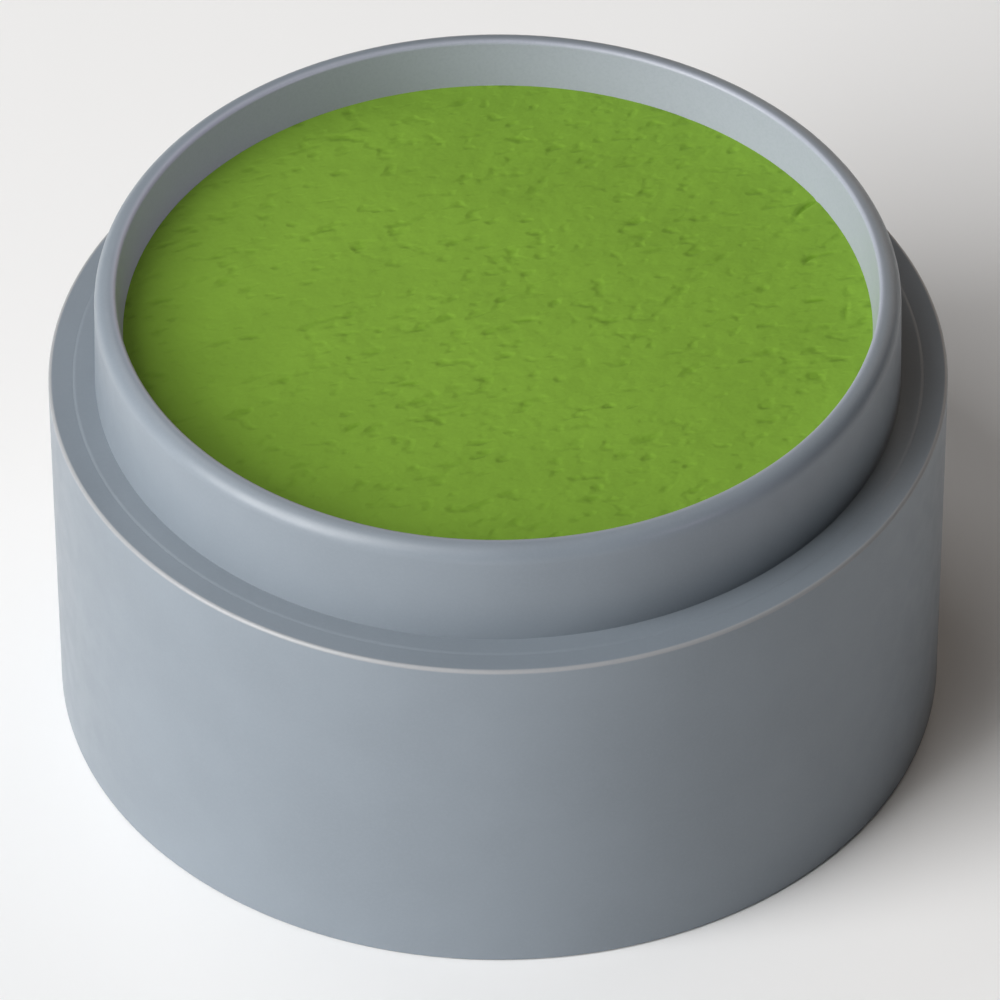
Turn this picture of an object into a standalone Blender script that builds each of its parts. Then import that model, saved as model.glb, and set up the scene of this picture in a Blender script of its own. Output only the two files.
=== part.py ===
"""Paint jar, open: a double-walled pot of face paint, as an assembly of turned pieces.

Frame: +Z up, the jar's axis is Z, and the origin is the centre of the foot that it stands on.
The outer shell carries the inner cup by a snap bead, and the inner cup holds the cake of paint.
"""

import math

import bpy

MM = 0.001

# Driving dimensions
SHELL_TOP_RADIUS = 25.0 * MM
SHELL_FOOT_RADIUS = 24.8 * MM
SHELL_HEIGHT = 21.8 * MM
JAR_HEIGHT = 28.0 * MM
NECK_RADIUS = 22.4 * MM
RIM_RADIUS = 22.3 * MM
BORE_RADIUS = 20.72 * MM
BORE_MOUTH_RADIUS = 21.1 * MM
PAINT_LEVEL = 25.05 * MM
CUP_FLOOR = 11.6 * MM

# Outer shell
SHELL_WALL = 1.7 * MM
MOUTH_RADIUS = 23.65 * MM
MOUTH_DEPTH = 4.6 * MM
FOOT_RECESS = 0.7 * MM
FOOT_WIDTH = 1.9 * MM
FOOT_TAPER = 0.3 * MM
FLOOR_THICKNESS = 1.3 * MM
FLOOR_ROUND = 1.2 * MM
SHELL_EDGE = 0.2 * MM
MOUTH_EDGE = 0.1 * MM
FOOT_EDGE = 0.2 * MM

# Inner cup
CUP_WALL = 1.15 * MM
CUP_DRAFT = 0.25 * MM
CUP_CORNER = 1.6 * MM
FLARE_START = 24.6 * MM
FLANGE_PROUD = 0.1 * MM
FLANGE_TOP = SHELL_HEIGHT + FLANGE_PROUD
FLANGE_THICKNESS = 1.3 * MM
FLANGE_EDGE = 0.12 * MM
FLANGE_ROOT = 0.2 * MM
SKIRT_THICKNESS = 0.95 * MM
SKIRT_LEAD = 0.3 * MM
RIM_INNER_ROUND = 0.33 * MM
RIM_OUTER_ROUND = 0.8 * MM
NECK_FILLET = 0.1 * MM

# Snap bead of the cup's skirt, and the shell's groove around it
SNAP_HEIGHT = 18.6 * MM
SNAP_PROUD = 0.2 * MM
SNAP_HALF = 0.35 * MM
GROOVE_SPARE = 0.08 * MM

# Gaps between pieces
FIT_GAP = 0.06 * MM
PAINT_GAP = 0.03 * MM

# Base label
LABEL_RADIUS = 20.0 * MM
LABEL_THICKNESS = 0.12 * MM

# Colours, and roughnesses of the three materials
PLASTIC_GREY = (0.30, 0.34, 0.39)
PAINT_GREEN = (0.16, 0.33, 0.04)
PAPER_WHITE = (0.82, 0.82, 0.80)
SATIN, MATTE, PAPER = 0.45, 0.85, 0.6

# Fineness of the turned meshes
TURN_STEPS = 64
ARC_STEP = math.radians(30)
MERGE = 0.01 * MM


def clear_scene():
    for obj in list(bpy.data.objects):
        bpy.data.objects.remove(obj)


def new_collection(name):
    collection = bpy.data.collections.new(name)
    bpy.context.scene.collection.children.link(collection)
    return collection


def make_material(name, colour, roughness):
    material = bpy.data.materials.new(name)
    material.use_nodes = True
    shader = material.node_tree.nodes["Principled BSDF"]
    shader.inputs["Base Color"].default_value = (*colour, 1.0)
    shader.inputs["Roughness"].default_value = roughness
    shader.inputs["Metallic"].default_value = 0.0
    return material


def rounded(corners):
    """The outline through (radius, height, rounding) corners, each rounding turned into an arc."""
    outline = []
    for i, (x, y, rounding) in enumerate(corners):
        if not rounding:
            outline.append((x, y))
            continue
        (xa, ya, _), (xb, yb, _) = corners[i - 1], corners[i + 1]
        start = math.atan2(ya - y, xa - x)
        opening = (math.atan2(yb - y, xb - x) - start + math.pi) % (2 * math.pi) - math.pi
        reach = rounding / math.sin(abs(opening) / 2)
        middle = start + opening / 2
        centre_x = x + reach * math.cos(middle)
        centre_y = y + reach * math.sin(middle)
        turn = math.pi - abs(opening)
        steps = max(2, math.ceil(turn / ARC_STEP))
        side = math.copysign(1, opening)
        for k in range(steps + 1):
            angle = middle + math.pi - side * turn * (k / steps - 0.5)
            outline.append(
                (centre_x + rounding * math.cos(angle), centre_y + rounding * math.sin(angle))
            )
    return outline


def turned(name, corners, material, collection):
    """A solid turned about Z. Its outline starts and ends on the axis and runs down the outer side."""
    outline = rounded(corners)
    mesh = bpy.data.meshes.new(name)
    edges = [(i, i + 1) for i in range(len(outline) - 1)]
    mesh.from_pydata([(x, 0.0, z) for x, z in outline], edges, [])
    mesh.materials.append(material)
    piece = bpy.data.objects.new(name, mesh)
    collection.objects.link(piece)
    screw = piece.modifiers.new("Turn", "SCREW")
    screw.axis = "Z"
    screw.angle = 2 * math.pi
    screw.steps = TURN_STEPS
    screw.render_steps = TURN_STEPS
    screw.use_smooth_shade = True
    screw.use_merge_vertices = True
    screw.merge_threshold = MERGE
    return piece


def shell_radius(height):
    """The outer shell's outside radius, which grows from the foot to the mouth."""
    share = height / SHELL_HEIGHT
    return SHELL_FOOT_RADIUS + (SHELL_TOP_RADIUS - SHELL_FOOT_RADIUS) * share


def bore_radius(height):
    """The bore's radius: a slight draft up from the cup's floor, then a flare to its mouth."""
    if height < FLARE_START:
        return BORE_RADIUS - CUP_DRAFT * (FLARE_START - height) / (FLARE_START - CUP_FLOOR)
    share = (height - FLARE_START) / (JAR_HEIGHT - FLARE_START)
    return BORE_RADIUS + (BORE_MOUTH_RADIUS - BORE_RADIUS) * share


def outer_shell(material, collection):
    floor_top = FOOT_RECESS + FLOOR_THICKNESS
    seat = SHELL_HEIGHT - MOUTH_DEPTH
    groove = MOUTH_RADIUS + SNAP_PROUD + GROOVE_SPARE - FIT_GAP
    groove_half = SNAP_HALF + GROOVE_SPARE
    foot_inside = SHELL_FOOT_RADIUS - FOOT_WIDTH
    return turned(
        "outer_shell",
        [
            (0, floor_top, 0),
            (shell_radius(floor_top) - SHELL_WALL, floor_top, FLOOR_ROUND),
            (shell_radius(seat) - SHELL_WALL, seat, 0),
            (MOUTH_RADIUS, seat, 0),
            (MOUTH_RADIUS, SNAP_HEIGHT - groove_half, 0),
            (groove, SNAP_HEIGHT - groove_half / 2, 0),
            (groove, SNAP_HEIGHT + groove_half / 2, 0),
            (MOUTH_RADIUS, SNAP_HEIGHT + groove_half, 0),
            (MOUTH_RADIUS, SHELL_HEIGHT, MOUTH_EDGE),
            (SHELL_TOP_RADIUS, SHELL_HEIGHT, SHELL_EDGE),
            (SHELL_FOOT_RADIUS, 0, FOOT_EDGE),
            (foot_inside, 0, FOOT_EDGE),
            (foot_inside - FOOT_TAPER, FOOT_RECESS, FOOT_EDGE),
            (0, FOOT_RECESS, 0),
        ],
        material,
        collection,
    )


def inner_cup(material, collection):
    """Neck, flange, snap skirt and the cup that holds the paint, moulded as one piece."""
    flange_radius = MOUTH_RADIUS - FIT_GAP
    flange_bottom = FLANGE_TOP - FLANGE_THICKNESS
    skirt_inside = flange_radius - SKIRT_THICKNESS
    skirt_bottom = SHELL_HEIGHT - MOUTH_DEPTH + FIT_GAP
    snap = flange_radius + SNAP_PROUD
    floor_radius = bore_radius(CUP_FLOOR)
    return turned(
        "inner_cup",
        [
            (0, CUP_FLOOR, 0),
            (floor_radius, CUP_FLOOR, CUP_CORNER),
            (BORE_RADIUS, FLARE_START, 0),
            (BORE_MOUTH_RADIUS, JAR_HEIGHT, RIM_INNER_ROUND),
            (RIM_RADIUS, JAR_HEIGHT, RIM_OUTER_ROUND),
            (NECK_RADIUS, FLANGE_TOP, NECK_FILLET),
            (flange_radius, FLANGE_TOP, FLANGE_EDGE),
            (flange_radius, SNAP_HEIGHT + SNAP_HALF, 0),
            (snap, SNAP_HEIGHT + SNAP_HALF / 2, 0),
            (snap, SNAP_HEIGHT - SNAP_HALF / 2, 0),
            (flange_radius, SNAP_HEIGHT - SNAP_HALF, 0),
            (flange_radius, skirt_bottom, SKIRT_LEAD),
            (skirt_inside, skirt_bottom, 0),
            (skirt_inside, flange_bottom, FLANGE_ROOT),
            (BORE_RADIUS + CUP_WALL, flange_bottom, FLANGE_ROOT),
            (floor_radius + CUP_WALL, CUP_FLOOR - CUP_WALL, CUP_CORNER + CUP_WALL),
            (0, CUP_FLOOR - CUP_WALL, 0),
        ],
        material,
        collection,
    )


def paint_cake(material, collection):
    """The paint, cast in the cup, with the bore's outline on its side."""
    return turned(
        "paint_cake",
        [
            (0, PAINT_LEVEL, 0),
            (bore_radius(PAINT_LEVEL) - PAINT_GAP, PAINT_LEVEL, 0),
            (BORE_RADIUS - PAINT_GAP, FLARE_START, 0),
            (bore_radius(CUP_FLOOR) - PAINT_GAP, CUP_FLOOR + PAINT_GAP, CUP_CORNER),
            (0, CUP_FLOOR + PAINT_GAP, 0),
        ],
        material,
        collection,
    )


def base_label(material, collection):
    """A round self-adhesive label, blank, on the shell's recessed base."""
    label_top = FOOT_RECESS - PAINT_GAP
    return turned(
        "base_label",
        [
            (0, label_top, 0),
            (LABEL_RADIUS, label_top, 0),
            (LABEL_RADIUS, label_top - LABEL_THICKNESS, 0),
            (0, label_top - LABEL_THICKNESS, 0),
        ],
        material,
        collection,
    )


def main():
    clear_scene()
    jar = new_collection("paint_jar")
    grey_plastic = make_material("grey_plastic", PLASTIC_GREY, SATIN)
    green_paint = make_material("green_paint", PAINT_GREEN, MATTE)
    label_paper = make_material("label_paper", PAPER_WHITE, PAPER)
    outer_shell(grey_plastic, jar)
    inner_cup(grey_plastic, jar)
    paint_cake(green_paint, jar)
    base_label(label_paper, jar)


main()
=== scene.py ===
"""Looks of the open paint jar: satin plastic mouldings, a matte cake of paint and a plain studio."""

import math

import bpy
import numpy as np
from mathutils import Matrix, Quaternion, Vector


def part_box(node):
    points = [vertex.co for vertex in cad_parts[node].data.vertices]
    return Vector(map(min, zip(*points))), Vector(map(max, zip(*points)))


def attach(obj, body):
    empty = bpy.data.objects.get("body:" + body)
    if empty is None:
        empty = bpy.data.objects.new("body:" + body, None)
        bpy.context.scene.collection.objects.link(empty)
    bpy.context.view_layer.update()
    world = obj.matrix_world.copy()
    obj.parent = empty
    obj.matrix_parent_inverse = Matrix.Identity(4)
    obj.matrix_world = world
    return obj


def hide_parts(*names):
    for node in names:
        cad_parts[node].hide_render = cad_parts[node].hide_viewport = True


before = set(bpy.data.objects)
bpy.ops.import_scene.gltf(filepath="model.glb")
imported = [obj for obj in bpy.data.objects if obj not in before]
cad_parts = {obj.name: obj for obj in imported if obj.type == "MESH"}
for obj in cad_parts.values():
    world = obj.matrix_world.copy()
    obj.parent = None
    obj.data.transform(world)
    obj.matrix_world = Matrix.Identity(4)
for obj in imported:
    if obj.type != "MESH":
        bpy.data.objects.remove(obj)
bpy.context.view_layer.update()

MM = 0.001
BODY = "root"

# Outline of the mouldings, where the nodes' boxes don't give it
NECK_RADIUS = 22.4 * MM
RIM_RADIUS = 22.3 * MM
RIM_INNER_ROUND = 0.24 * MM
RIM_OUTER_ROUND = 0.92 * MM
BORE_RADIUS = 20.72 * MM
BORE_MOUTH_RADIUS = 21.1 * MM
FLARE_START = 24.6 * MM
FLARE_ROUND = 0.5 * MM
CUP_WALL = 1.15 * MM
CUP_DRAFT = 0.25 * MM
CUP_CORNER = 1.6 * MM
SEAM_RADIUS = 23.65 * MM
SEAM_STEP = 0.025 * MM
SEAM_SLOPE = 0.15 * MM
SEAM_ROUND = 0.6 * MM
SEAM_GAP = 0.003 * MM
FLANGE_THICKNESS = 1.3 * MM
FLANGE_ROOT = 0.2 * MM
SKIRT_HEIGHT = 4.6 * MM
SKIRT_THICKNESS = 0.95 * MM
SKIRT_LEAD = 0.3 * MM
FIT_GAP = 0.06 * MM
SHELL_WALL = 1.7 * MM
SHELL_FLOOR = 2.0 * MM
SHELL_EDGE = 0.2 * MM
FLOOR_ROUND = 1.2 * MM
FOOT_DRAFT = 0.2 * MM
FOOT_WIDTH = 1.9 * MM
FOOT_TAPER = 0.3 * MM
FOOT_EDGE = 0.2 * MM
LABEL_GAP = 0.03 * MM
LABEL_EDGE = 0.02 * MM
PAINT_GAP = 0.03 * MM

# Fineness of the turned shapes, how far points stand beside arcs and sharp corners, and the room
# that a point beside an arc needs
TURN_STEPS = 256
ARC_STEP = math.radians(9)
FEWEST_ARC_STEPS = 3
SUPPORT = 0.05 * MM
SUPPORT_ROOM = 3 * SUPPORT
CREASE = 0.004 * MM
MERGE = 0.001 * MM

# Fineness of the paint's mesh, and the angle from which its edge is sharp
PAINT_GRID = 300
PAINT_SIDE_STEPS = 3
PAINT_CREASE = math.radians(60)

# Strokes on the paint run at this angle from +X, in degrees
STROKE_ANGLE = 30

# The relief is calmer near the wall, and this share of it is left at the wall
EDGE_CALM = 0.5 * MM
EDGE_SHARE = 0.4

# Side of the noise's lattice, and the place in it that the jar's axis takes
LATTICE = 256
LATTICE_MIDDLE = 50

# Grains of the relief: height, length and width in mm, turn from the strokes in degrees, and seed
GRAINS = [
    (0.02, 9.0, 9.0, 0, 1),
    (0.012, 2.4, 1.8, 0, 2),
    (0.008, 1.1, 0.6, 0, 3),
    (0.004, 0.6, 0.4, 10, 4),
]

# Small dents, strewn at random: how many, seed, ranges of half length, half width and depth in mm,
# and spreads of direction in degrees and of bend
DENTS = 120
DENT_SEED = 11
DENT_LENGTH = (0.25, 0.5)
DENT_WIDTH = (0.15, 0.2)
DENT_DEPTH = (0.01, 0.035)
DENT_TURN = 16
DENT_BEND = 0.12

# Each dent's lip, as a share of its depth and in half widths from its middle, and where its bend is 0
LIP_HEIGHT = 0.08
LIP_PLACE = 2
BEND_MIDDLE = 0.3

# The larger tears: x, y, direction in degrees, half length, half width, depth and bend, sizes in mm
TEARS = [
    (17.6, 10.2, 38, 1.5, 0.18, 0.16, 0.30),
    (17.4, 5.6, 40, 0.5, 0.18, 0.13, 0.25),
    (18.4, 6.0, 18, 0.5, 0.16, 0.07, 0.00),
    (17.6, 2.0, 12, 0.6, 0.16, 0.09, 0.05),
    (19.3, 1.0, 85, 0.8, 0.16, 0.06, 0.05),
    (1.5, 0.4, 8, 0.7, 0.16, 0.09, 0.05),
    (-4.9, -4.9, 10, 0.6, 0.18, 0.08, 0.05),
    (-2.4, -7.2, 24, 1.2, 0.14, 0.05, -0.15),
    (0.2, -6.2, 20, 0.8, 0.14, 0.06, 0.10),
    (-8.0, -8.5, 42, 0.6, 0.16, 0.06, 0.00),
    (7.6, 8.8, 5, 0.5, 0.16, 0.07, 0.00),
    (6.6, -5.2, 60, 0.4, 0.16, 0.05, 0.00),
]

# Colours of the plastic, its painted bounce light in the bore, its painted edge highlight, the paint,
# the paper and the floor
GREY = (0.1985, 0.229, 0.2613)
# Painted bounce light: a lighter, bluer grey for the bore's wall
BORE_PAINTED_LIGHT = (0.335, 0.352, 0.41)
# Painted highlight: a pale grey along the shell's outer edge
EDGE_HIGHLIGHT_GREY = (0.31, 0.315, 0.325)
GREEN = (0.17, 0.311, 0.0326)
WHITE = (0.8, 0.8, 0.77)
FLOOR_GREY = (0.86, 0.86, 0.86, 1)

# Most values of a noise lie in this range
NOISE_RANGE = (0.3, 0.7)

# Plastic: sizes of its mottling, grain, waves and gloss patches, bump heights, roughness, how far in
# from the rim's outside the bore's painted bounce light starts, and the width of the painted edge
# highlight
MOTTLE_SIZE = 7 * MM
GRAIN_SIZE = 0.16 * MM
WAVE_SIZE = 5 * MM
GLOSS_SIZE = 1.6 * MM
WAVE_HEIGHT = 0.003 * MM
GRAIN_HEIGHT = 0.002 * MM
PLASTIC_ROUGH = (0.34, 0.4)
CROWN_INSET = 0.8 * MM
EDGE_HIGHLIGHT_WIDTH = 0.24 * MM

# Paint: sizes of its clouds, dashes, crumbs, chains of dashes and powder, bump heights, the depths
# where the painted shade in pits starts and is darkest, roughness, and the colour's shares left in the
# painted shade of pits and dashes
CLOUD_SIZE = 5 * MM
DASH_SIZE = 0.7 * MM
CRUMB_SIZE = 0.8 * MM
CHAIN_SIZE = 1.6 * MM
POWDER_SIZE = 0.2 * MM
DASH_HEIGHT = 0.09 * MM
CRUMB_HEIGHT = 0.08 * MM
PIT_SHADE_START = 0.02 * MM
PIT_SHADE_FULL = 0.10 * MM
PAINT_ROUGH = (0.84, 0.96)
TEAR_SHADE = (0.55, 0.66, 0.25)

# Paper: size, stretch and bump height of its fibres, size of its clouds, and roughness
FIBRE_SIZE = 0.08 * MM
FIBRE_STRETCH = 8
FIBRE_HEIGHT = 0.006 * MM
PAPER_CLOUD_SIZE = 4 * MM
PAPER_ROUGH = (0.7, 0.8)

# Half the side of the floor
FLOOR_HALF = 3.0

# Camera: distance, elevation, height that it looks at, sensor, lens, sideways shift, roll and clipping
CAMERA_DISTANCE = 0.7
CAMERA_ELEVATION = math.radians(41.55)
CAMERA_AIM = 12.07 * MM
SENSOR = 36.0
LENS = 449.3
SHIFT = 0.0014
ROLL = -0.004
CLIP = (0.05, 20)

NEUTRAL = (1.0, 1.0, 1.0)
WARM = (1.0, 0.86, 0.74)

# Softboxes: name, azimuth, elevation, size, power and colour
LIGHT_AIM = Vector((0, 0, 14 * MM))
LIGHTS = [
    ("key", -60, 23, 0.7, 12.6, NEUTRAL),
    ("high_fill", -52, 55, 0.5, 4.0, NEUTRAL),
    ("front_fill", -30, 30, 0.5, 0.8, NEUTRAL),
    ("top", 0, 90, 0.5, 0.4, NEUTRAL),
    ("back_right", 150, 25, 0.8, 2.0, WARM),
    ("back_left", -140, 50, 0.5, 1.35, NEUTRAL),
]

# The beam into the bore, in degrees and metres
BEAM_AZIMUTH, BEAM_ELEVATION = 50, 22
BEAM_TARGET = Vector((-19, 10, 27)) * MM
BEAM_TINT = (1.0, 0.88, 1.1)
BEAM_WIDTH = math.radians(2.1)
BEAM_SOURCE = 0.006
BEAM_POWER = 12.0


# ---------------------------------------------------------------- turned shapes


def rounded(corners):
    """The outline through (radius, height, rounding) corners, with an arc at each rounding.
    Extra points beside the arcs and the sharp corners keep the straight stretches flat when the
    shape is shaded smooth."""
    places = [Vector(corner[:2]) for corner in corners]
    last = len(corners) - 1
    reaches = [0.0] * len(corners)
    halves = [0.0] * len(corners)
    for i in range(1, last):
        halves[i] = (places[i - 1] - places[i]).angle(places[i + 1] - places[i]) / 2
        reaches[i] = corners[i][2] / math.tan(halves[i])
    outline = []
    for i, place in enumerate(places):
        if i in (0, last):
            outline.append(tuple(place))
            continue
        rounding = corners[i][2]
        to_a, to_b = places[i - 1] - place, places[i + 1] - place
        if not rounding:
            before = place + to_a.normalized() * CREASE
            after = place + to_b.normalized() * CREASE
            outline.extend(tuple(point) for point in (before, place, after))
            continue
        room_a = to_a.length - reaches[i] - reaches[i - 1]
        room_b = to_b.length - reaches[i] - reaches[i + 1]
        to_a.normalize()
        to_b.normalize()
        centre = place + (to_a + to_b).normalized() * (rounding / math.sin(halves[i]))
        start = place + to_a * reaches[i] - centre
        end = place + to_b * reaches[i] - centre
        turn = start.angle_signed(end)
        steps = max(FEWEST_ARC_STEPS, math.ceil(abs(turn) / ARC_STEP))
        if room_a > SUPPORT_ROOM:
            outline.append(tuple(centre + start + to_a * SUPPORT))
        for k in range(steps + 1):
            angle = -turn * k / steps
            c, s = math.cos(angle), math.sin(angle)
            spoke = Vector((start.x * c - start.y * s, start.x * s + start.y * c))
            outline.append(tuple(centre + spoke))
        if room_b > SUPPORT_ROOM:
            outline.append(tuple(centre + end + to_b * SUPPORT))
    return outline


def new_piece(name, mesh, material):
    """An object in the scene, with this mesh and this material."""
    mesh.materials.append(material)
    piece = bpy.data.objects.new(name, mesh)
    bpy.context.scene.collection.objects.link(piece)
    return piece


def turned(name, corners, material):
    """A closed solid turned about Z, from an outline that runs down its outer side."""
    outline = rounded(corners)
    mesh = bpy.data.meshes.new(name)
    edges = [(i, i + 1) for i in range(len(outline) - 1)]
    mesh.from_pydata([(x, 0.0, z) for x, z in outline], edges, [])
    piece = new_piece(name, mesh, material)
    screw = piece.modifiers.new("Turn", "SCREW")
    screw.axis = "Z"
    screw.angle = 2 * math.pi
    screw.steps = TURN_STEPS
    screw.render_steps = TURN_STEPS
    screw.use_smooth_shade = True
    screw.use_merge_vertices = True
    screw.merge_threshold = MERGE
    return piece


def stand_for(piece, node):
    """The piece takes the CAD node's place on the body, and the node is hidden."""
    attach(piece, BODY)
    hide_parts(node)


def make_shell(material):
    """The outer shell: wall, mouth, foot ring and recessed base."""
    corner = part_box("outer_shell")[1]
    radius, top = corner.x, corner.z
    foot = radius - FOOT_DRAFT
    foot_inside = foot - FOOT_WIDTH
    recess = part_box("base_label")[1].z + LABEL_GAP
    seat = top - SKIRT_HEIGHT
    return turned(
        "shell",
        [
            (0, SHELL_FLOOR, 0),
            (foot - SHELL_WALL, SHELL_FLOOR, FLOOR_ROUND),
            (radius - SHELL_WALL, seat, 0),
            (SEAM_RADIUS + SEAM_GAP, seat, 0),
            (SEAM_RADIUS + SEAM_GAP, top, 0),
            (radius, top, SHELL_EDGE),
            (foot, 0, FOOT_EDGE),
            (foot_inside, 0, FOOT_EDGE),
            (foot_inside - FOOT_TAPER, recess, FOOT_EDGE),
            (0, recess, 0),
        ],
        material,
    )


def make_cup(material):
    """The inner cup: floor, bore, round rim, neck, shoulder flange and snap skirt."""
    low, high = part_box("inner_cup")
    floor = low.z + CUP_WALL
    floor_radius = BORE_RADIUS - CUP_DRAFT
    shell_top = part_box("outer_shell")[1].z
    shoulder = shell_top + SEAM_STEP
    flange_bottom = shoulder - FLANGE_THICKNESS
    skirt_bottom = shell_top - SKIRT_HEIGHT + FIT_GAP
    skirt_inside = SEAM_RADIUS - SKIRT_THICKNESS
    return turned(
        "cup",
        [
            (0, floor, 0),
            (floor_radius, floor, CUP_CORNER),
            (BORE_RADIUS, FLARE_START, FLARE_ROUND),
            (BORE_MOUTH_RADIUS, high.z, RIM_INNER_ROUND),
            (RIM_RADIUS, high.z, RIM_OUTER_ROUND),
            (NECK_RADIUS, shoulder, 0),
            (SEAM_RADIUS - SEAM_SLOPE, shoulder, SEAM_ROUND),
            (SEAM_RADIUS, shell_top, 0),
            (SEAM_RADIUS, skirt_bottom, SKIRT_LEAD),
            (skirt_inside, skirt_bottom, 0),
            (skirt_inside, flange_bottom, FLANGE_ROOT),
            (BORE_RADIUS + CUP_WALL, flange_bottom, FLANGE_ROOT),
            (floor_radius + CUP_WALL, low.z, CUP_CORNER + CUP_WALL),
            (0, low.z, 0),
        ],
        material,
    )


def make_label(material):
    """A blank round label on the recessed base."""
    low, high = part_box("base_label")
    return turned(
        "label",
        [
            (0, high.z, 0),
            (high.x, high.z, LABEL_EDGE),
            (high.x, low.z, LABEL_EDGE),
            (0, low.z, 0),
        ],
        material,
    )


# ---------------------------------------------------------------- paint


def round_grid(count):
    """Points of a square grid mapped evenly to the unit disc, as (x, y) arrays of count by count."""
    side = np.linspace(-1, 1, count)
    a, b = np.meshgrid(side, side)
    wide = np.abs(a) > np.abs(b)
    safe_a = np.where(a == 0, 1, a)
    safe_b = np.where(b == 0, 1, b)
    radius = np.where(wide, a, b)
    angle = np.where(wide, math.pi / 4 * b / safe_a, math.pi / 2 - math.pi / 4 * a / safe_b)
    return radius * np.cos(angle), radius * np.sin(angle)


def smooth_noise(x, y, seed):
    """Value noise with a lattice of 1, from -1 to 1."""
    lattice = np.random.default_rng(seed).uniform(-1, 1, (LATTICE, LATTICE))
    xi, yi = np.floor(x).astype(int), np.floor(y).astype(int)
    fx, fy = x - xi, y - yi
    fx, fy = fx * fx * (3 - 2 * fx), fy * fy * (3 - 2 * fy)

    def at(i, j):
        return lattice[(xi + i) % LATTICE, (yi + j) % LATTICE]

    low = at(0, 0) * (1 - fx) + at(1, 0) * fx
    high = at(0, 1) * (1 - fx) + at(1, 1) * fx
    return low * (1 - fy) + high * fy


def along_strokes(x, y, angle, length, width):
    """Coordinates along and across strokes at this angle, in units of the strokes' size."""
    c, s = math.cos(math.radians(angle)), math.sin(math.radians(angle))
    return (x * c + y * s) / length, (-x * s + y * c) / width


def press_dent(relief, x, y, place, angle, length, width, depth, bend):
    """Lowers the surface by one bent, elongated dent with a faint raised lip on one side."""
    reach = 2 * length + 4 * width
    near = (np.abs(x - place[0]) < reach) & (np.abs(y - place[1]) < reach)
    u, v = along_strokes(x[near] - place[0], y[near] - place[1], angle, length, width)
    v = v + bend * length / width * (u**2 - BEND_MIDDLE)
    ends = np.exp(-(u**4))
    lip = LIP_HEIGHT * np.exp(-((v - LIP_PLACE) ** 2))
    relief[near] += depth * ends * (lip - np.exp(-(v**2)))


def paint_relief(x, y):
    """Height of the paint's surface over its level, for points in metres."""
    rng = np.random.default_rng(DENT_SEED)
    radius = np.hypot(x, y).max()
    relief = np.zeros_like(x)
    for height, length, width, turn, seed in GRAINS:
        u, v = along_strokes(x, y, STROKE_ANGLE + turn, length * MM, width * MM)
        relief += height * MM * smooth_noise(u + LATTICE_MIDDLE, v + LATTICE_MIDDLE, seed)
    for _ in range(DENTS):
        share, turn = math.sqrt(rng.uniform()), rng.uniform(0, 2 * math.pi)
        place = radius * share * math.cos(turn), radius * share * math.sin(turn)
        angle = rng.normal(STROKE_ANGLE, DENT_TURN)
        length = MM * rng.uniform(*DENT_LENGTH)
        width = MM * rng.uniform(*DENT_WIDTH)
        depth = MM * rng.uniform(*DENT_DEPTH)
        bend = rng.normal(0, DENT_BEND)
        press_dent(relief, x, y, place, angle, length, width, depth, bend)
    for px, py, angle, length, width, depth, bend in TEARS:
        place = px * MM, py * MM
        press_dent(relief, x, y, place, angle, length * MM, width * MM, depth * MM, bend)
    return relief


def paint_side(bottom):
    """Radius and height of the rings under the paint's top: the flare, the draft and the corner."""
    foot_radius = BORE_RADIUS - CUP_DRAFT - PAINT_GAP
    side = [(BORE_RADIUS - PAINT_GAP, FLARE_START), (foot_radius, bottom + CUP_CORNER)]
    for k in range(1, PAINT_SIDE_STEPS + 1):
        turn = math.pi / 2 * k / PAINT_SIDE_STEPS
        inward = CUP_CORNER * (1 - math.cos(turn))
        side.append((foot_radius - inward, bottom + CUP_CORNER * (1 - math.sin(turn))))
    return side


def make_paint(material):
    """The cake of paint: a dense grained top on a plain turned side."""
    low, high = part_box("paint_cake")
    top_radius = high.x + PAINT_GAP - SEAM_GAP
    gx, gy = round_grid(PAINT_GRID)
    x, y = (gx * top_radius).ravel(), (gy * top_radius).ravel()
    to_wall = top_radius - np.hypot(x, y)
    edge = np.clip(to_wall / EDGE_CALM, 0, 1)
    z = high.z + paint_relief(x, y) * (EDGE_SHARE + (1 - EDGE_SHARE) * edge)
    points = [np.column_stack([x, y, z])]
    index = np.arange(PAINT_GRID**2).reshape(PAINT_GRID, PAINT_GRID)
    faces = [
        (index[i, j], index[i, j + 1], index[i + 1, j + 1], index[i + 1, j])
        for i in range(PAINT_GRID - 1)
        for j in range(PAINT_GRID - 1)
    ]
    loop = np.concatenate([index[0, :-1], index[:-1, -1], index[-1, :0:-1], index[:0:-1, 0]])
    rim = np.column_stack([gx.ravel()[loop], gy.ravel()[loop]])
    ring = list(loop)
    count = len(loop)
    used = PAINT_GRID**2
    for radius, height in paint_side(low.z):
        points.append(np.column_stack([rim * radius, np.full(count, height)]))
        new = list(range(used, used + count))
        used += count
        for k in range(count):
            n = (k + 1) % count
            faces.append((ring[n], ring[k], new[k], new[n]))
        ring = new
    points.append(np.array([[0.0, 0.0, low.z]]))
    for k in range(count):
        faces.append((ring[(k + 1) % count], ring[k], used))
    mesh = bpy.data.meshes.new("paint")
    mesh.from_pydata(np.concatenate(points).tolist(), [], [tuple(map(int, f)) for f in faces])
    mesh.shade_smooth()
    mesh.set_sharp_from_angle(angle=PAINT_CREASE)
    return new_piece("paint", mesh, material)


# ---------------------------------------------------------------- materials


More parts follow.
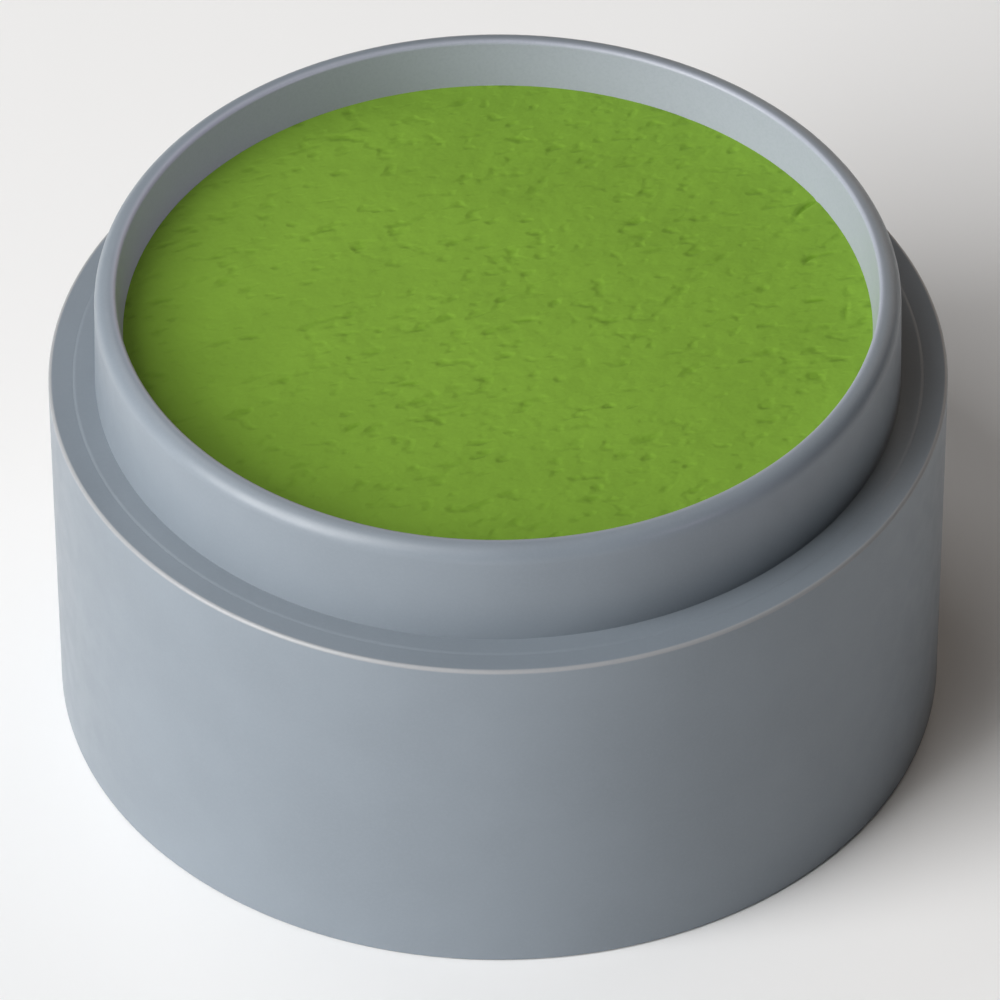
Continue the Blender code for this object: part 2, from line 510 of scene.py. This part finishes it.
class Finish:
    """A material under construction: one Principled shader and the patterns that feed it."""

    def __init__(self, name, roughness, specular):
        self.material = bpy.data.materials.new(name)
        self.material.use_nodes = True
        self.tree = self.material.node_tree
        self.shader = self.tree.nodes["Principled BSDF"]
        self.shader.inputs["Roughness"].default_value = roughness
        self.shader.inputs["Specular IOR Level"].default_value = specular
        self.place = self.new("ShaderNodeTexCoord").outputs["Object"]

    def feed(self, socket, value):
        """Links or sets a socket."""
        if isinstance(value, bpy.types.NodeSocket):
            self.tree.links.new(value, socket)
        else:
            socket.default_value = value

    def new(self, kind, **inputs):
        """A node whose inputs are linked or set, and named here with _ for spaces."""
        node = self.tree.nodes.new(kind)
        for name, value in inputs.items():
            self.feed(node.inputs[name.replace("_", " ")], value)
        return node

    def noise(self, size, detail, place=None):
        """Noise of this feature size, about 0.5."""
        place = place or self.place
        return self.new("ShaderNodeTexNoise", Vector=place, Scale=1 / size, Detail=detail).outputs[0]

    def height(self):
        """Height over the floor."""
        return self.new("ShaderNodeSeparateXYZ", Vector=self.place).outputs["Z"]

    def from_axis(self):
        """Distance from the jar's axis."""
        flat = self.new("ShaderNodeVectorMath")
        flat.operation = "MULTIPLY"
        self.feed(flat.inputs[0], self.place)
        flat.inputs[1].default_value = (1, 1, 0)
        length = self.new("ShaderNodeVectorMath")
        length.operation = "LENGTH"
        self.feed(length.inputs[0], flat.outputs["Vector"])
        return length.outputs["Value"]

    def stretched(self, angle, stretch):
        """The place, turned about Z and squeezed along the turned X, so that patterns run along it."""
        node = self.new("ShaderNodeMapping", Vector=self.place)
        node.vector_type = "TEXTURE"
        node.inputs["Rotation"].default_value = (0, 0, math.radians(angle))
        node.inputs["Scale"].default_value = (stretch, 1, 1)
        return node.outputs["Vector"]

    def add(self, value_a, value_b):
        """The sum of two values."""
        node = self.new("ShaderNodeMath")
        self.feed(node.inputs[0], value_a)
        self.feed(node.inputs[1], value_b)
        return node.outputs["Value"]

    def spread(self, value, low, high, to_low=0.0, to_high=1.0):
        """The value, mapped smoothly from one range to another."""
        node = self.new("ShaderNodeMapRange")
        node.interpolation_type = "SMOOTHSTEP"
        self.feed(node.inputs["Value"], value)
        self.feed(node.inputs["From Min"], low)
        self.feed(node.inputs["From Max"], high)
        self.feed(node.inputs["To Min"], to_low)
        self.feed(node.inputs["To Max"], to_high)
        return node.outputs["Result"]

    def blend(self, factor, colour_a, colour_b):
        """A mix of two colours, from the first at 0 to the second at 1."""
        node = self.new("ShaderNodeMix")
        node.data_type = "RGBA"
        self.feed(node.inputs[0], factor)
        for socket, colour in ((node.inputs[6], colour_a), (node.inputs[7], colour_b)):
            self.feed(socket, (*colour, 1.0) if isinstance(colour, tuple) else colour)
        return node.outputs[2]

    def bump(self, height, distance, below=None):
        """A normal bent by this height, on top of the bump below it."""
        node = self.new("ShaderNodeBump", Height=height, Distance=distance)
        if below:
            self.feed(node.inputs["Normal"], below)
        return node.outputs["Normal"]

    def finish(self, **inputs):
        """The material, with the shader's inputs fed."""
        for name, value in inputs.items():
            self.feed(self.shader.inputs[name.replace("_", " ")], value)
        return self.material


def scaled(colour, factor):
    """The colour, darker or lighter by this factor."""
    return tuple(channel * factor for channel in colour)


def tinted(colour, tint):
    """The colour, with each channel multiplied by the tint's."""
    return tuple(channel * share for channel, share in zip(colour, tint))


def satin_plastic(name, bore=False, edge=None):
    """Moulded polypropylene: faint mottling, a fine grain and a satin that varies softly.
    The bore may have a lighter, bluer tone painted in as bounce light, blended in across the crown
    of the rim. An edge may get a pale painted highlight, and is given by its radius and its height."""
    look = Finish(name, 0.37, 0.5)
    mottle = look.noise(MOTTLE_SIZE, 3)
    grain = look.noise(GRAIN_SIZE, 2)
    waves = look.noise(WAVE_SIZE, 1)
    gloss = look.noise(GLOSS_SIZE, 4)
    tint = look.blend(look.spread(mottle, *NOISE_RANGE), scaled(GREY, 0.97), scaled(GREY, 1.03))
    # Painted bounce light: from the crown of the rim inwards, the bore's wall turns a lighter, bluer
    # grey
    if bore:
        bore_light_share = look.spread(look.from_axis(), RIM_RADIUS - CROWN_INSET, BORE_MOUTH_RADIUS)
        tint = look.blend(bore_light_share, tint, BORE_PAINTED_LIGHT)
    # Painted highlight: a pale grey band on the rounding of the edge
    if edge:
        radius, top = edge
        outside = look.spread(look.from_axis(), radius - EDGE_HIGHLIGHT_WIDTH, radius - EDGE_HIGHLIGHT_WIDTH / 2)
        edge_highlight = look.spread(look.height(), top - EDGE_HIGHLIGHT_WIDTH, top - EDGE_HIGHLIGHT_WIDTH / 2, 0, outside)
        tint = look.blend(edge_highlight, tint, EDGE_HIGHLIGHT_GREY)
    tint = look.blend(look.spread(grain, 0.35, 0.75, 0, 0.2), tint, scaled(GREY, 1.15))
    rough = look.spread(gloss, *NOISE_RANGE, *PLASTIC_ROUGH)
    normal = look.bump(waves, WAVE_HEIGHT)
    normal = look.bump(grain, GRAIN_HEIGHT, normal)
    return look.finish(Base_Color=tint, Roughness=rough, Normal=normal)


def matte_paint(name):
    """A dry cake: clouds of tone, chains of small torn dashes, shade painted into its dashes and pits,
    and a powdery grain.
    """
    look = Finish(name, 0.9, 0.15)
    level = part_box("paint_cake")[1].z
    cloud = look.noise(CLOUD_SIZE, 3)
    dash = look.noise(DASH_SIZE, 1, look.stretched(STROKE_ANGLE - 4, 1.7))
    crumb = look.noise(CRUMB_SIZE, 2, look.stretched(STROKE_ANGLE + 10, 1.3))
    chain = look.noise(CHAIN_SIZE, 2, look.stretched(STROKE_ANGLE, 3))
    powder = look.noise(POWDER_SIZE, 2)
    torn = look.add(dash, look.spread(chain, 0.35, 0.65, -0.07, 0.04))
    # Painted shade: the green darkens with depth below the paint's level, in the pits and tears
    pit_shade = look.spread(look.height(), level - PIT_SHADE_FULL, level - PIT_SHADE_START, 0.6, 0)
    tint = look.blend(look.spread(cloud, *NOISE_RANGE), scaled(GREEN, 0.98), scaled(GREEN, 1.05))
    # Painted shade: darker green in the torn dashes, where the bump dents the surface
    tint = look.blend(look.spread(torn, 0.54, 0.86, 0, 0.35), tint, tinted(GREEN, TEAR_SHADE))
    tint = look.blend(pit_shade, tint, tinted(GREEN, TEAR_SHADE))
    rough = look.spread(powder, *NOISE_RANGE, *PAINT_ROUGH)
    normal = look.bump(look.spread(torn, 0.5, 0.86, 1, 0), DASH_HEIGHT)
    normal = look.bump(crumb, CRUMB_HEIGHT, normal)
    return look.finish(Base_Color=tint, Roughness=rough, Normal=normal)


def label_paper(name):
    """Uncoated paper: crossed fibres in tone and in relief."""
    look = Finish(name, 0.75, 0.3)
    fibres = look.noise(FIBRE_SIZE, 3, look.stretched(20, FIBRE_STRETCH))
    crossed = look.noise(FIBRE_SIZE, 3, look.stretched(-65, FIBRE_STRETCH))
    cloud = look.noise(PAPER_CLOUD_SIZE, 2)
    tint = look.blend(look.spread(fibres, 0.4, 0.7), WHITE, scaled(WHITE, 0.93))
    tint = look.blend(look.spread(crossed, 0.45, 0.75, 0, 0.6), tint, scaled(WHITE, 0.95))
    rough = look.spread(cloud, *NOISE_RANGE, *PAPER_ROUGH)
    normal = look.bump(fibres, FIBRE_HEIGHT)
    normal = look.bump(crossed, FIBRE_HEIGHT, normal)
    return look.finish(Base_Color=tint, Roughness=rough, Normal=normal)


# ---------------------------------------------------------------- studio


def make_floor():
    """A large plain pale floor."""
    mesh = bpy.data.meshes.new("floor")
    half = FLOOR_HALF
    corners = [(-half, -half, 0), (half, -half, 0), (half, half, 0), (-half, half, 0)]
    mesh.from_pydata(corners, [], [(0, 1, 2, 3)])
    floor = new_piece("floor", mesh, Finish("pale_floor", 0.8, 0.3).finish(Base_Color=FLOOR_GREY))


def make_camera():
    """The camera, on the -Y side and above, looking at the jar's axis."""
    target = Vector((0, 0, CAMERA_AIM))
    back = Vector((0, -math.cos(CAMERA_ELEVATION), math.sin(CAMERA_ELEVATION)))
    data = bpy.data.cameras.new("camera")
    data.sensor_width = SENSOR
    data.lens = LENS
    data.shift_x = SHIFT
    data.clip_start, data.clip_end = CLIP
    camera = bpy.data.objects.new("camera", data)
    camera.location = target + back * CAMERA_DISTANCE
    camera.rotation_mode = "QUATERNION"
    roll = Quaternion((0, 0, 1), ROLL)
    camera.rotation_quaternion = (-back).to_track_quat("-Z", "Y") @ roll
    bpy.context.scene.collection.objects.link(camera)
    bpy.context.scene.camera = camera


def aim_light(name, data, azimuth, elevation, target):
    """Places a light 1 m from its target. Azimuth 0 is the camera's side, and 90 is the right."""
    a, e = math.radians(azimuth), math.radians(elevation)
    light = bpy.data.objects.new(name, data)
    back = Vector((math.sin(a) * math.cos(e), -math.cos(a) * math.cos(e), math.sin(e)))
    light.location = target + back
    light.rotation_mode = "QUATERNION"
    light.rotation_quaternion = (-back).to_track_quat("-Z", "Y")
    light.visible_camera = False
    bpy.context.scene.collection.objects.link(light)


def add_softbox(name, azimuth, elevation, size, power, colour):
    """A square softbox aimed at the jar."""
    data = bpy.data.lights.new(name, "AREA")
    data.shape = "SQUARE"
    data.size = size
    data.energy = power
    data.color = colour
    aim_light(name, data, azimuth, elevation, LIGHT_AIM)


def add_bore_beam():
    """A narrow beam with a soft edge, over the right of the rim onto the bore's left wall."""
    data = bpy.data.lights.new("bore_beam", "SPOT")
    data.energy = BEAM_POWER
    data.color = BEAM_TINT
    data.spot_size = BEAM_WIDTH
    data.spot_blend = 1.0
    data.shadow_soft_size = BEAM_SOURCE
    aim_light("bore_beam", data, BEAM_AZIMUTH, BEAM_ELEVATION, BEAM_TARGET)


def make_dark_world():
    """A world without light of its own."""
    world = bpy.data.worlds.new("studio")
    world.use_nodes = True
    world.node_tree.nodes["Background"].inputs["Strength"].default_value = 0.0
    bpy.context.scene.world = world


def main():
    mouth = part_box("outer_shell")[1]
    shell_plastic = satin_plastic("shell_plastic", edge=(mouth.x, mouth.z))
    stand_for(make_shell(shell_plastic), "outer_shell")
    cup_plastic = satin_plastic("cup_plastic", bore=True)
    stand_for(make_cup(cup_plastic), "inner_cup")
    stand_for(make_paint(matte_paint("green_paint")), "paint_cake")
    stand_for(make_label(label_paper("label_paper")), "base_label")
    make_floor()
    make_camera()
    make_dark_world()
    for name, azimuth, elevation, size, power, colour in LIGHTS:
        add_softbox(name, azimuth, elevation, size, power, colour)
    add_bore_beam()
    bpy.context.scene.view_settings.view_transform = "Standard"


main()
